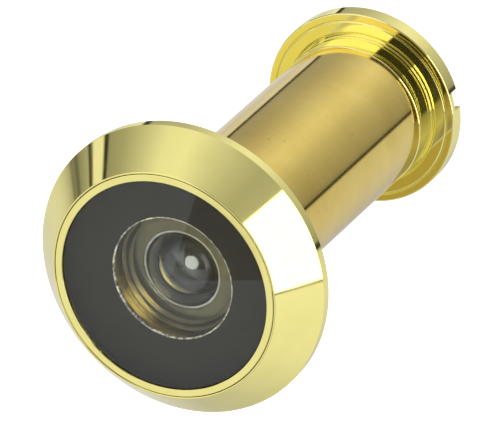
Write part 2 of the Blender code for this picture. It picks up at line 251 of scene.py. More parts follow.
def grid_mesh(name, points):
    """Quads over a grid of points that closes on itself both ways."""
    rows, columns = points.shape[:2]
    index = np.arange(rows * columns).reshape(rows, columns)
    right, down = np.roll(index, -1, 1), np.roll(index, -1, 0)
    both = np.roll(down, -1, 1)
    faces = np.stack([index, right, both, down], -1).reshape(-1, 4)
    return into_mesh(name, points.reshape(-1, 3), faces.tolist())


def thread_form(place):
    """Height, from 0 to 1, of a V thread with flat crests and roots. place counts pitches, and the crest
    is at a half: the distance from the nearest root, stretched and cut off at both ends."""
    ramp = 1 - 2 * np.abs(place - np.floor(place) - 0.5)
    return np.clip(1.3 * ramp - 0.15, 0, 1)


def helical(start, end, turn, form, rows_per_pitch=8):
    """(r, y) along a thread at each angle of the column turn. The rows follow the helix
    y = pitch (k / n + turn / tau), held between start and end, so crests and roots fall on rows."""
    thread = bpy.context.scene.viewer_thread
    pitch = thread.pitch / MM
    first = math.floor(rows_per_pitch * (start / pitch - 1))
    last = math.ceil(rows_per_pitch * end / pitch)
    k = np.arange(first, last + 1)[None]
    y = np.clip(pitch * (k / rows_per_pitch + turn / math.tau), start, end)
    ends = np.minimum(y - start, end - y)
    return form(thread_form(y / pitch - turn / math.tau), ends), y


def threaded(name, before, thread, after, sides=160):
    """Surface of columns about Y: plain outline, thread rows, plain outline, closed into a loop.
    The last column repeats the first one turn on, and the doubles are merged."""
    turn = np.linspace(0, math.tau, sides + 1)[:, None]
    r, y = thread(turn)
    parts = [np.asarray(part, float).reshape(-1, 2) for part in (before, after)]
    plain = [np.broadcast_to(part, (sides + 1, len(part), 2)) for part in parts]
    r = np.concatenate([plain[0][..., 0], r, plain[1][..., 0]], 1)
    y = np.concatenate([plain[0][..., 1], y, plain[1][..., 1]], 1)
    points = np.stack([r * np.sin(turn), y, r * np.cos(turn)], -1)
    rows, columns = points.shape[:2]
    index = np.arange(rows * columns).reshape(rows, columns)
    right = np.roll(index, -1, 1)
    faces = np.stack([index[:-1], right[:-1], right[1:], index[1:]], -1).reshape(-1, 4)
    return into_mesh(name, points.reshape(-1, 3), faces.tolist())


def cut_across(piece, width, floor, top, reach, turn):
    """Cuts a straight slot across the axis: an exact Boolean with a box, applied at once."""
    corners = np.array([(x, y, z) for x in (-1, 1) for y in (0, 1) for z in (-1, 1)], float)
    corners = corners * (width / 2, top - floor, reach) + (0, floor, 0)
    quads = [(0, 1, 3, 2), (4, 6, 7, 5), (0, 4, 5, 1), (2, 3, 7, 6), (0, 2, 6, 4), (1, 5, 7, 3)]
    box = bpy.data.meshes.new("slot cutter")
    box.from_pydata(corners * MM, [], quads)
    box.transform(Matrix.Rotation(turn, 4, "Y"))
    cutter = bpy.data.objects.new("slot cutter", box)
    shape = bmesh.new()
    shape.from_mesh(box)
    bmesh.ops.recalc_face_normals(shape, faces=shape.faces)
    shape.to_mesh(box)
    shape.free()
    bpy.context.collection.objects.link(cutter)
    slot = piece.modifiers.new("slot", "BOOLEAN")
    slot.operation = "DIFFERENCE"
    slot.solver = "EXACT"
    slot.object = cutter
    bpy.context.view_layer.update()
    whole = piece.data
    piece.data = bpy.data.meshes.new_from_object(piece.evaluated_get(bpy.context.evaluated_depsgraph_get()))
    piece.data.name = piece.name
    piece.modifiers.clear()
    bpy.data.objects.remove(cutter)
    bpy.data.meshes.remove(whole)
    piece.data.set_sharp_from_angle(angle=math.radians(32))


def facets(mesh):
    """Middle in millimetres, normal and distance from the axis of each face."""
    centres, normals = np.empty((2, len(mesh.polygons) * 3))
    mesh.polygons.foreach_get("center", centres)
    mesh.polygons.foreach_get("normal", normals)
    centres = centres.reshape(-1, 3) / MM
    return centres, normals.reshape(-1, 3), np.hypot(centres[:, 0], centres[:, 2])


def place(mesh, body, nodes, material, slot):
    """Puts a finished mesh in the scene: it rides on its body and stands for its CAD nodes."""
    piece = bpy.data.objects.new(mesh.name, mesh)
    bpy.context.collection.objects.link(piece)
    mesh.materials.clear()
    mesh.materials.append(material)
    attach(piece, body)
    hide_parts(*nodes)
    return piece


# --- Materials ----------------------------------------------------------------------------------------


def add_node(tree, kind, settings=None, links=None):
    """Adds a node, sets its properties or input values by name, and links its inputs to given outputs."""
    node = tree.nodes.new(kind)
    for key, value in (settings or {}).items():
        if isinstance(key, str) and hasattr(node, key):
            setattr(node, key, value)
        else:
            node.inputs[key].default_value = value
    for key, output in (links or {}).items():
        tree.links.new(output, node.inputs[key])
    return node


def new_material(name):
    """An empty material and its output node."""
    material = bpy.data.materials.get(name)
    if material:
        return material, None, None
    material = bpy.data.materials.new(name)
    material.use_nodes = True
    tree = material.node_tree
    tree.nodes.clear()
    return material, tree, add_node(tree, "ShaderNodeOutputMaterial")


def stretched_coordinates(tree, across, along):
    """Object coordinates scaled so that one unit is 'across' millimetres off the axis and 'along' on it."""
    place_node = add_node(tree, "ShaderNodeTexCoord")
    scale = (1 / (across * MM), 1 / (along * MM), 1 / (across * MM))
    mapping = add_node(
        tree, "ShaderNodeMapping", {"Scale": scale}, {"Vector": place_node.outputs["Object"]}
    )
    return mapping.outputs["Vector"]


def polished_brass():
    """Turned brass, buffed to a mirror and lacquered: near-mirror reflections in a greenish yellow, with
    hair-fine marks round the axis, and a few soft clouds in the lacquer that change the gloss a little."""
    material, tree, output = new_material("polished lacquered brass")
    if tree is None:
        return material
    finish = bpy.context.scene.viewer_finish
    clouds = add_node(
        tree, "ShaderNodeTexNoise", {"Scale": 1.0, "Detail": 3.0},
        {"Vector": stretched_coordinates(tree, 3.0, 2.0)},
    )
    gloss = add_node(
        tree, "ShaderNodeMapRange", {"From Min": 0.35, "From Max": 0.7, "To Min": 0.045, "To Max": 0.085},
        {"Value": clouds.outputs["Fac"]},
    )
    tint = add_node(
        tree, "ShaderNodeMix", {"data_type": "RGBA", 6: finish.polished, 7: linear("#f0e591")},
        {0: clouds.outputs["Fac"]},
    )
    marks = add_node(
        tree, "ShaderNodeTexNoise", {"Scale": 1.0, "Detail": 2.0},
        {"Vector": stretched_coordinates(tree, 9.0, 0.12)},
    )
    bump = add_node(
        tree, "ShaderNodeBump", {"Strength": 0.12, "Distance": 0.000002},
        {"Height": marks.outputs["Fac"]},
    )
    shader = add_node(
        tree,
        "ShaderNodeBsdfPrincipled",
        {"Metallic": 1.0},
        {
            "Base Color": tint.outputs[2],
            "Roughness": gloss.outputs["Result"],
            "Normal": bump.outputs["Normal"],
        },
    )
    tree.links.new(shader.outputs["BSDF"], output.inputs["Surface"])
    return material


def satin_brass():
    """Brass left as the fine feed of the lathe cut it: close rings and a fine grain take the mirror off it
    and mottle its colour, and a few pits and soft stains break the rings."""
    material, tree, output = new_material("satin turned brass")
    if tree is None:
        return material
    finish = bpy.context.scene.viewer_finish
    rings = add_node(
        tree, "ShaderNodeTexNoise", {"Scale": 1.0, "Detail": 3.0, "Roughness": 0.6},
        {"Vector": stretched_coordinates(tree, 6.0, 0.22)},
    )
    grain = add_node(
        tree, "ShaderNodeTexNoise", {"Scale": 1.0, "Detail": 4.0, "Roughness": 0.65},
        {"Vector": stretched_coordinates(tree, 0.35, 0.16)},
    )
    stains = add_node(
        tree, "ShaderNodeTexNoise", {"Scale": 1.0, "Detail": 2.0},
        {"Vector": stretched_coordinates(tree, 5.0, 4.0)},
    )
    mixed = add_node(
        tree, "ShaderNodeMix", {"data_type": "FLOAT", 0: 0.45},
        {2: rings.outputs["Fac"], 3: grain.outputs["Fac"]},
    )
    tint = add_node(
        tree, "ShaderNodeMix", {"data_type": "RGBA", 6: linear("#dfc770"), 7: finish.satin},
        {0: mixed.outputs[0]},
    )
    worn = add_node(
        tree, "ShaderNodeMix", {"data_type": "RGBA", "blend_type": "MULTIPLY", 7: linear("#e9dfbf")},
        {0: stains.outputs["Fac"], 6: tint.outputs[2]},
    )
    pits = add_node(
        tree, "ShaderNodeTexNoise", {"Scale": 1.0, "Detail": 1.0},
        {"Vector": stretched_coordinates(tree, 0.45, 0.3)},
    )
    pitted = add_node(
        tree, "ShaderNodeMapRange", {"From Min": 0.76, "From Max": 0.84}, {"Value": pits.outputs["Fac"]},
    )
    worn = add_node(
        tree, "ShaderNodeMix", {"data_type": "RGBA", "blend_type": "MULTIPLY", 7: linear("#8f7f52")},
        {0: pitted.outputs["Result"], 6: worn.outputs[2]},
    )
    bump = add_node(
        tree, "ShaderNodeBump", {"Strength": 0.1, "Distance": 0.000003}, {"Height": rings.outputs["Fac"]},
    )
    gloss = add_node(
        tree, "ShaderNodeMapRange", {"From Min": 0.3, "From Max": 0.7, "To Min": 0.07, "To Max": 0.11},
        {"Value": grain.outputs["Fac"]},
    )
    shader = add_node(
        tree,
        "ShaderNodeBsdfPrincipled",
        {"Metallic": 1.0},
        {
            "Base Color": worn.outputs[2],
            "Roughness": gloss.outputs["Result"],
            "Normal": bump.outputs["Normal"],
        },
    )
    tree.links.new(shader.outputs["BSDF"], output.inputs["Surface"])
    return material


def machined_brass():
    """Brass straight from the die or the boring bar, unpolished: duller and browner, with coarse rings."""
    material, tree, output = new_material("machined brass")
    if tree is None:
        return material
    rings = add_node(
        tree, "ShaderNodeTexNoise", {"Scale": 1.0, "Detail": 4.0, "Roughness": 0.6},
        {"Vector": stretched_coordinates(tree, 2.5, 0.25)},
    )
    tint = add_node(
        tree, "ShaderNodeMix", {"data_type": "RGBA", 6: linear("#c9ad55"), 7: linear("#eedb86")},
        {0: rings.outputs["Fac"]},
    )
    bump = add_node(
        tree, "ShaderNodeBump", {"Strength": 0.3, "Distance": 0.00001}, {"Height": rings.outputs["Fac"]},
    )
    shader = add_node(
        tree, "ShaderNodeBsdfPrincipled", {"Metallic": 1.0, "Roughness": 0.24},
        {"Base Color": tint.outputs[2], "Normal": bump.outputs["Normal"]},
    )
    tree.links.new(shader.outputs["BSDF"], output.inputs["Surface"])
    return material


def bore_brass_and_shade():
    """Bored brass inside the tube, in a dark olive that is partly its dull colour and partly painted
    shade for the dim inside of the tube, with coarse tool rings that break the light into thin bands."""
    material, tree, output = new_material("dulled bored brass")
    if tree is None:
        return material
    rings = add_node(
        tree, "ShaderNodeTexNoise", {"Scale": 1.0, "Detail": 3.0, "Roughness": 0.6},
        {"Vector": stretched_coordinates(tree, 3.0, 0.2)},
    )
    tint = add_node(
        tree, "ShaderNodeMix", {"data_type": "RGBA", 6: linear("#4a4634"), 7: linear("#6e684c")},
        {0: rings.outputs["Fac"]},
    )
    bump = add_node(
        tree, "ShaderNodeBump", {"Strength": 0.3, "Distance": 0.00001}, {"Height": rings.outputs["Fac"]},
    )
    shader = add_node(
        tree, "ShaderNodeBsdfPrincipled", {"Metallic": 1.0, "Roughness": 0.26},
        {"Base Color": tint.outputs[2], "Normal": bump.outputs["Normal"]},
    )
    tree.links.new(shader.outputs["BSDF"], output.inputs["Surface"])
    return material


def chipped_edge():
    """The rim of the black coat where the stencil lifted it: pale ground glass shows through the chips."""
    material, tree, output = new_material("chipped edge of the black coat")
    if tree is None:
        return material
    chips = add_node(
        tree, "ShaderNodeTexNoise", {"Scale": 1.0, "Detail": 3.0, "Roughness": 0.7},
        {"Vector": stretched_coordinates(tree, 0.35, 0.35)},
    )
    bare = add_node(
        tree, "ShaderNodeMapRange", {"From Min": 0.43, "From Max": 0.58}, {"Value": chips.outputs["Fac"]},
    )
    tint = add_node(
        tree, "ShaderNodeMix", {"data_type": "RGBA", 6: linear("#191816"), 7: linear("#cfc8b0")},
        {0: bare.outputs["Result"]},
    )
    shader = add_node(tree, "ShaderNodeBsdfPrincipled", {"Roughness": 0.6}, {"Base Color": tint.outputs[2]})
    tree.links.new(shader.outputs["BSDF"], output.inputs["Surface"])
    return material


def ground_glass():
    """The edge of a lens as the grinding wheel leaves it: pale, matt and a little uneven, so that it shows
    as a thin silver ring."""
    material, tree, output = new_material("ground edge of a lens")
    if tree is None:
        return material
    bite = add_node(
        tree, "ShaderNodeTexNoise", {"Scale": 1.0, "Detail": 3.0},
        {"Vector": stretched_coordinates(tree, 0.5, 0.2)},
    )
    tint = add_node(
        tree, "ShaderNodeMix", {"data_type": "RGBA", 6: linear("#8d8c82"), 7: linear("#d4d3c9")},
        {0: bite.outputs["Fac"]},
    )
    shader = add_node(
        tree, "ShaderNodeBsdfPrincipled", {"Roughness": 0.45}, {"Base Color": tint.outputs[2]},
    )
    tree.links.new(shader.outputs["BSDF"], output.inputs["Surface"])
    return material


def black_coat():
    """Black stoving paint on the rear of the glass: deep, slightly warm, nearly no sheen of its own, with
    the faint orange peel of a spray."""
    material, tree, output = new_material("black stoved paint")
    if tree is None:
        return material
    finish = bpy.context.scene.viewer_finish
    peel = add_node(
        tree, "ShaderNodeTexNoise", {"Scale": 1.0, "Detail": 2.0},
        {"Vector": stretched_coordinates(tree, 0.5, 0.5)},
    )
    tint = add_node(
        tree, "ShaderNodeMix", {"data_type": "RGBA", 6: finish.black, 7: linear("#2b2a23")},
        {0: peel.outputs["Fac"]},
    )
    bump = add_node(
        tree, "ShaderNodeBump", {"Strength": 0.15, "Distance": 0.00001}, {"Height": peel.outputs["Fac"]},
    )
    shader = add_node(
        tree, "ShaderNodeBsdfPrincipled", {"Roughness": 0.5, "Specular IOR Level": 0.08},
        {"Base Color": tint.outputs[2], "Normal": bump.outputs["Normal"]},
    )
    tree.links.new(shader.outputs["BSDF"], output.inputs["Surface"])
    return material


def optical_glass():
    """Pressed and polished crown glass, IOR 1.52: clear, with clean reflections and the faintest haze."""
    material, tree, output = new_material("polished crown glass")
    if tree is None:
        return material
    finish = bpy.context.scene.viewer_finish
    haze = add_node(
        tree, "ShaderNodeTexNoise", {"Scale": 1.0, "Detail": 2.0},
        {"Vector": stretched_coordinates(tree, 2.0, 2.0)},
    )
    tint = add_node(
        tree, "ShaderNodeMix", {"data_type": "RGBA", 6: finish.glass, 7: linear("#f4f9f5")},
        {0: haze.outputs["Fac"]},
    )
    shader = add_node(
        tree, "ShaderNodeBsdfPrincipled", {"Roughness": 0.0, "IOR": 1.52, "Transmission Weight": 1.0},
        {"Base Color": tint.outputs[2]},
    )
    tree.links.new(shader.outputs["BSDF"], output.inputs["Surface"])
    return material


def coated_glass():
    """The same crown glass under an anti-reflection coat: hardly any reflection but at a glance, so that
    the inner faces don't add ghosts to the highlight."""
    material, tree, output = new_material("coated crown glass")
    if tree is None:
        return material
    finish = bpy.context.scene.viewer_finish
    haze = add_node(
        tree, "ShaderNodeTexNoise", {"Scale": 1.0, "Detail": 2.0},
        {"Vector": stretched_coordinates(tree, 2.0, 2.0)},
    )
    tint = add_node(
        tree, "ShaderNodeMix", {"data_type": "RGBA", 6: finish.glass, 7: linear("#eef3f1")},
        {0: haze.outputs["Fac"]},
    )
    shader = add_node(
        tree, "ShaderNodeBsdfPrincipled",
        {"Roughness": 0.0, "IOR": 1.52, "Transmission Weight": 1.0, "Specular Tint": linear("#45443e")},
        {"Base Color": tint.outputs[2]},
    )
    tree.links.new(shader.outputs["BSDF"], output.inputs["Surface"])
    return material


# --- Exterior unit ------------------------------------------------------------------------------------


# Small details of the turned parts, in millimetres.
LIP_STEP = 0.22  # last terrace of the throat, in front of the rear of the lip
RELIEF_WIDE = 0.12  # relief at the mouth of the throat
RELIEF_LONG = 0.30
CHIPPED_EDGE = 0.12  # width of the chipped edge of the window
STACK_RING_WALL = 0.75
EYE_RING_WALL = 0.95
STACK_SLOT = (0.8, 0.6)  # width and depth of the screwdriver slot in the retainer
EYE_SLOT = (0.9, 0.5)  # the same in the eyepiece ring
STOP_HOLE = 3.0
STOP_WALL = 0.35
GROOVE_EDGES = (0.86, 0.80, 0.70, 0.64)  # how far inside the flange's rim its ring groove starts and ends
GROOVE_DEPTH = 0.06


class VIEWER_OT_head(bpy.types.Operator):
    """Makes the bevelled head with its lens pocket and the threaded tube behind it"""

    bl_idname = "viewer.head"
    bl_label = "Head and tube"

    def execute(self, context):
        head = context.scene.viewer_head
        thread = context.scene.viewer_thread
        pocket = GLASS_RADIUS + head.pocket_wall / MM
        floor = MASK_REAR + head.pocket_wall / MM
        throat = floor + head.throat_depth / MM
        lip_rear = throat + head.lip_length / MM
        bore = STACK_RADIUS + head.pocket_wall / MM
        lip = bore - head.lip_width / MM
        root = thread.root / MM
        relief = head.relief_radius / MM
        edge = head.edge / MM
        front = [
            (pocket, HEAD_FRONT),
            (pocket + head.land / MM, HEAD_FRONT),
            (HEAD_RADIUS, -head.rim / MM),
            (HEAD_RADIUS, 0.0),
            (relief, 0.0),
            (relief, -head.relief_depth / MM),
            (root, -head.relief_depth / MM),
        ]
        wide = head.throat_radius / MM
        low = lip_rear - LIP_STEP
        step = (low - throat) / 2
        inside = [
            (bore, TUBE_END), (bore, lip_rear), (lip, lip_rear), (lip, low),
            (wide - 2 * head.terrace / MM, low), (wide - 2 * head.terrace / MM, low - step),
            (wide - head.terrace / MM, low - step), (wide - head.terrace / MM, throat), (wide, throat),
            (wide, floor + RELIEF_LONG), (wide + RELIEF_WIDE, floor + RELIEF_LONG),
            (wide + RELIEF_WIDE, floor), (pocket, floor),
        ]
        outline = rounded(front + [(root, thread.relief / MM)] + inside, edge)
        cut = int(np.argmin(np.abs(outline - (root, thread.relief / MM)).sum(1)))
        before, after = outline[: cut - 1], outline[cut + 2 :]

        def along(turn):
            depth = thread.depth / MM
            return helical(
                thread.relief / MM, TUBE_END, turn, lambda form, ends: root + np.minimum(depth * form, ends)
            )

        mesh = threaded("head_and_tube", before, along, after)
        piece = place(mesh, OUTER, ["front_housing"], polished_brass(), "housing_brass")
        mesh.materials.append(machined_brass())
        mesh.materials.append(bore_brass_and_shade())
        centres, normals, radius = facets(mesh)
        screw = (radius > root - 0.1) & (radius < root + 0.6)
        screw &= centres[:, 1] > -0.9 * head.relief_depth / MM
        bored = (radius < bore + 0.1) & (centres[:, 1] < TUBE_END - 0.1)
        inside_throat = (radius < wide + 0.15) & (centres[:, 1] > floor - 0.05) & (centres[:, 1] < lip_rear)
        inside_throat &= normals[:, 1] < 0.5
        flat = normals[:, 1] < -0.2
        # The throat's front-facing flats join the bore in the dark olive brass, whose darkness is partly
        # painted shade.
        bored |= inside_throat & (flat | (radius < lip + 0.02))
        screw |= inside_throat
        in_pocket = (centres[:, 1] > HEAD_FRONT + 0.1) & (centres[:, 1] < floor + 0.02)
        screw |= in_pocket & (radius < pocket + 0.01)
        index = np.where(bored, 2, np.where(screw, 1, 0))
        mesh.polygons.foreach_set("material_index", index.astype(np.int32))
        piece.data.update()
        return {"FINISHED"}


class VIEWER_OT_bezel(bpy.types.Operator):
    """Makes the narrow ring that holds the front glass"""

    bl_idname = "viewer.bezel"
    bl_label = "Lens bezel"

    def execute(self, context):
        glass = context.scene.viewer_glass
        inner = GLASS_RADIUS - glass.bezel_width / MM
        outline = [
            (inner, HEAD_FRONT),
            (GLASS_RADIUS, HEAD_FRONT),
            (GLASS_RADIUS, BEZEL_REAR),
            (inner, HEAD_FRONT + glass.bezel_lip / MM),
        ]
        mesh = revolved("bezel_ring", rounded(outline, 0.06))
        place(mesh, OUTER, ["lens_bezel"], polished_brass(), "bezel_brass")
        return {"FINISHED"}


class VIEWER_OT_front_glass(bpy.types.Operator):
    """Makes the hollow-ground front glass and the black ring behind it"""

    bl_idname = "viewer.front_glass"
    bl_label = "Front glass"

    def execute(self, context):
        glass = context.scene.viewer_glass
        head = context.scene.viewer_head
        gap = head.pocket_wall / MM
        face = GLASS_RADIUS - glass.bezel_width / MM - gap
        lip = HEAD_FRONT + glass.bezel_lip / MM + gap * (math.sqrt(2) - 1)
        corners = [
            (0.0, GLASS_FRONT),
            (face - 0.3, GLASS_FRONT),
            (face, GLASS_FRONT),
            (face, lip),
            (GLASS_RADIUS, lip + GLASS_RADIUS - face),
            (GLASS_RADIUS, GLASS_REAR),
            (glass.window / MM + CHIPPED_EDGE, GLASS_REAR),
            (glass.window / MM, GLASS_REAR),
        ]
        hollow = spherical(glass.window / MM, glass.window_depth / MM, GLASS_REAR, -1)
        outline = np.concatenate([rounded(corners + [hollow[-1]], 0.05)[:-1], hollow[1:]])
        mesh = revolved("front_glass", outline)
        place(mesh, OUTER, ["objective_lens"], optical_glass(), "objective_glass")
        mesh.materials.append(black_coat())
        centres, normals, radius = facets(mesh)
        painted = (centres[:, 1] > GLASS_REAR - 0.03) & (normals[:, 1] > 0.9)
        painted &= radius > glass.window / MM + CHIPPED_EDGE
        painted |= radius > face + 0.06
        hollow_side = (normals[:, 1] > 0.3) & (radius < glass.window / MM + 0.01)
        mesh.materials.append(coated_glass())
        index = np.where(painted, 1, np.where(hollow_side, 2, 0))
        mesh.polygons.foreach_set("material_index", index.astype(np.int32))
        behind = MASK_FRONT + 0.12
        ring = [
            (glass.window / MM, MASK_FRONT),
            (GLASS_RADIUS, MASK_FRONT),
            (GLASS_RADIUS, behind),
            (glass.window / MM, behind),
        ]
        ring.insert(1, (glass.window / MM + CHIPPED_EDGE, MASK_FRONT))
        mesh = revolved("black_ring", rounded(ring, 0.03))
        place(mesh, OUTER, ["mask_ring"], black_coat(), "mask_black")
        mesh.materials.append(chipped_edge())
        rim = facets(mesh)[2] < glass.window / MM + 0.11
        mesh.polygons.foreach_set("material_index", rim.astype(np.int32))
        return {"FINISHED"}


class VIEWER_OT_lens_stack(bpy.types.Operator):
    """Makes the two lenses in the tube, the ring between them and the ring behind them"""

    bl_idname = "viewer.lens_stack"
    bl_label = "Lens stack"

    def execute(self, context):
        glass = context.scene.viewer_glass
        head = context.scene.viewer_head
        lip = STACK_RADIUS + (head.pocket_wall - head.lip_width) / MM
        dome = lip - glass.dome_gap / MM
        edge = MASK_REAR + (2 * head.pocket_wall + head.throat_depth + head.lip_length) / MM
        rise = edge - SECOND_FRONT
        front = spherical(dome, rise, edge, -1)[::-1]
        hollow = spherical(glass.hollow_radius / MM, glass.hollow_depth / MM, SECOND_REAR, -1)
        outline = np.concatenate([front, [(STACK_RADIUS, edge), (STACK_RADIUS, SECOND_REAR)], hollow])
        mesh = revolved("second_glass", outline)
        place(mesh, OUTER, ["second_lens"], optical_glass(), "second_glass")
        mesh.materials.append(coated_glass())
        mesh.materials.append(ground_glass())
        centres, normals, radius = facets(mesh)
        ground = (normals[:, 1] < 0.1) & (radius > dome - 0.10)
        mesh.polygons.foreach_set("material_index", np.where(ground, 2, normals[:, 1] > 0.1).astype(np.int32))
        bore = STACK_RADIUS - STACK_RING_WALL
        ring = [
            (bore, SPACER_FRONT),
            (STACK_RADIUS, SPACER_FRONT),
            (STACK_RADIUS, SPACER_REAR),
            (bore, SPACER_REAR),
        ]
        mesh = revolved("spacer_ring", rounded(ring, 0.05))
        place(mesh, OUTER, ["lens_spacer"], black_coat(), "spacer_black")
        first = SPACER_REAR + head.pocket_wall / MM
        rise = first - THIRD_FRONT
        last = THIRD_REAR - rise
        dome = bore - glass.dome_gap / MM
        outline = np.concatenate(
            [
                spherical(dome, rise, first, -1)[::-1],
                [(STACK_RADIUS, first), (STACK_RADIUS, last)],
                spherical(dome, rise, last, 1),
            ]
        )
        mesh = revolved("third_glass", outline)
        place(mesh, OUTER, ["third_lens"], coated_glass(), "third_glass")
        ring = [
            (bore, RETAINER_FRONT),
            (STACK_RADIUS, RETAINER_FRONT),
            (STACK_RADIUS, RETAINER_REAR),
            (bore, RETAINER_REAR),
        ]
        mesh = revolved("stack_retainer", rounded(ring, 0.05))
        # The retainer takes the same dark olive brass, partly painted shade for the dim inside of the tube.
        piece = place(mesh, OUTER, ["lens_retainer"], bore_brass_and_shade(), "retainer_brass")
        width, deep = STACK_SLOT
        cut_across(piece, width, RETAINER_REAR - deep, RETAINER_REAR + 1, 2 * STACK_RADIUS, 0.0)
        return {"FINISHED"}


# --- Interior unit ------------------------------------------------------------------------------------


class VIEWER_OT_sleeve(bpy.types.Operator):
    """Makes the satin barrel that screws over the tube"""

    bl_idname = "viewer.sleeve"
    bl_label = "Sleeve"

    def execute(self, context):
        thread = context.scene.viewer_thread
        nut_end = SLEEVE_FRONT + thread.nut / MM
        outer = (thread.root + thread.gap + thread.depth) / MM
        bore = thread.sleeve_bore / MM
        corners = [
            (outer, nut_end),
            (bore, nut_end),
            (bore, SLEEVE_REAR),
            (BARREL_RADIUS, SLEEVE_REAR),
            (BARREL_RADIUS, SLEEVE_FRONT + 0.2),
            (BARREL_RADIUS - 0.2, SLEEVE_FRONT),
            (outer, SLEEVE_FRONT),
        ]
        rest = rounded(corners, 0.05)
        keep = (np.abs(rest - corners[0]).sum(1) > 0.08) & (np.abs(rest - corners[-1]).sum(1) > 0.08)

        def along(turn):
            depth = thread.depth / MM
            return helical(
                SLEEVE_FRONT, nut_end, turn,
                lambda form, ends: outer - np.minimum(depth * (1 - form), ends), 6,
            )

        mesh = threaded("sleeve", [], along, rest[keep], sides=192)
        place(mesh, INNER, ["rear_sleeve"], satin_brass(), "sleeve_brass")
        return {"FINISHED"}


class VIEWER_OT_flange(bpy.types.Operator):
    """Makes the polished neck and flange, and cuts the coin slot"""

    bl_idname = "viewer.flange"
    bl_label = "Interior flange"

    def execute(self, context):
        flange = context.scene.viewer_flange
        thread = context.scene.viewer_thread
        seat = FLANGE_REAR - flange.thickness / MM
        neck = BARREL_RADIUS + 0.05
        cut = flange.undercut / MM
        neck_front = seat - flange.neck / MM + 0.05
        spigot = thread.sleeve_bore / MM - 0.05
        eye = flange.eye_bore / MM
        groove = GROOVE_EDGES
        shoulder = STOP_FRONT - 0.05
        recess = flange.eye_recess / MM
        corners = [
            (flange.spigot_bore / MM, SPIGOT_FRONT), (spigot, SPIGOT_FRONT), (spigot, neck_front),
            (neck, neck_front), (neck, seat - flange.undercut_width / MM - cut),
            (neck - cut, seat - flange.undercut_width / MM), (neck - cut, seat + cut),
            (neck + cut, seat + cut), (neck + 2 * cut, seat), (FLANGE_RADIUS - groove[0], seat),
            (FLANGE_RADIUS - groove[1], seat + GROOVE_DEPTH),
            (FLANGE_RADIUS - groove[2], seat + GROOVE_DEPTH),
            (FLANGE_RADIUS - groove[3], seat), (FLANGE_RADIUS, seat), (FLANGE_RADIUS, FLANGE_REAR),
            (eye + recess, FLANGE_REAR), (eye, FLANGE_REAR - 0.75 * recess), (eye, shoulder),
            (flange.spigot_bore / MM, shoulder),
        ]
        mesh = revolved("interior_flange", rounded(corners, 0.12), sides=288)
        piece = place(mesh, INNER, ["rear_flange"], polished_brass(), "flange_brass")
        floor = FLANGE_REAR - flange.slot_depth / MM
        width = flange.slot_width / MM
        cut_across(piece, width, floor, FLANGE_REAR + 1, 2 * FLANGE_RADIUS, flange.slot_turn)
        return {"FINISHED"}


class VIEWER_OT_eyepiece(bpy.types.Operator):
    """Makes the black stop, the eye lens and the slotted ring that holds them"""

    bl_idname = "viewer.eyepiece"
    bl_label = "Eyepiece"

    def execute(self, context):
        flange = context.scene.viewer_flange
        glass = context.scene.viewer_glass
        bore = EYE_STACK_RADIUS - EYE_RING_WALL
        cup = [
            (STOP_HOLE, STOP_FRONT),
            (EYE_STACK_RADIUS, STOP_FRONT),
            (EYE_STACK_RADIUS, STOP_REAR),
            (bore, STOP_REAR),
            (bore, STOP_FRONT + STOP_WALL),
            (STOP_HOLE, STOP_FRONT + STOP_WALL),
        ]
        mesh = revolved("stop_cup", rounded(cup, 0.04))
        place(mesh, EYE, ["field_stop"], black_coat(), "stop_black")
        first = STOP_REAR + 0.05
        rise = first - EYE_FRONT
        last = EYE_REAR - rise
        dome = bore - glass.dome_gap / MM
        outline = np.concatenate(
            [
                spherical(dome, rise, first, -1)[::-1],
                [(EYE_STACK_RADIUS, first), (EYE_STACK_RADIUS, last)],
                spherical(dome, rise, last, 1),
            ]
        )
        mesh = revolved("eye_glass", outline)
        place(mesh, EYE, ["eyepiece_lens"], optical_glass(), "eyepiece_glass")
        ring = [
            (bore, RING_FRONT),
            (EYE_STACK_RADIUS, RING_FRONT),
            (EYE_STACK_RADIUS, RING_REAR),
            (bore, RING_REAR),
        ]
        mesh = revolved("eye_ring", rounded(ring, 0.08))
        piece = place(mesh, INNER, ["eyepiece_retainer"], polished_brass(), "eyepiece_ring_brass")
        width, deep = EYE_SLOT
        cut_across(piece, width, RING_REAR - deep, RING_REAR + 1, 2 * EYE_STACK_RADIUS, flange.slot_turn)
        return {"FINISHED"}


# --- Studio -------------------------------------------------------------------------------------------

# The light tent round the viewing axis: brightness by angle from +X towards +Z, in degrees.
# FRONT is what the cone of the head mirrors, REAR what the barrel mirrors, and NEAR what the flat faces
# and the corner between neck and flange mirror. Narrow dark stops are the seams of the tent.
FLOOR_REACH = 4.0  # half the side of the floor, in metres
POLE_LEVEL = 0.6  # the tent's brightness on the axis
LAMP_WIDTH = 0.38
LAMP_POWER = 6.0
LAMP_COLOUR = (1.0, 0.98, 0.92)
LAMP_NEARER = 0.6  # how far the lamp stands in front of the glass, towards the camera
LAMP_LEFT = 0.06
LAMP_DOWN = 0.10
GOLD_CARD_FAR = 0.036
GOLD_CARD_RADIUS = 0.0100
DULL_GOLD = (0.46, 0.36, 0.12, 1)
BRIGHT_GOLD = (0.86, 0.76, 0.30, 1)
GREY_CARD_FAR = 0.06
GREY_CARD_RADIUS = 0.0097
GREY_CARD_ARC = (12, 74)  # degrees
WARM_GREY = (0.45, 0.40, 0.33, 1)
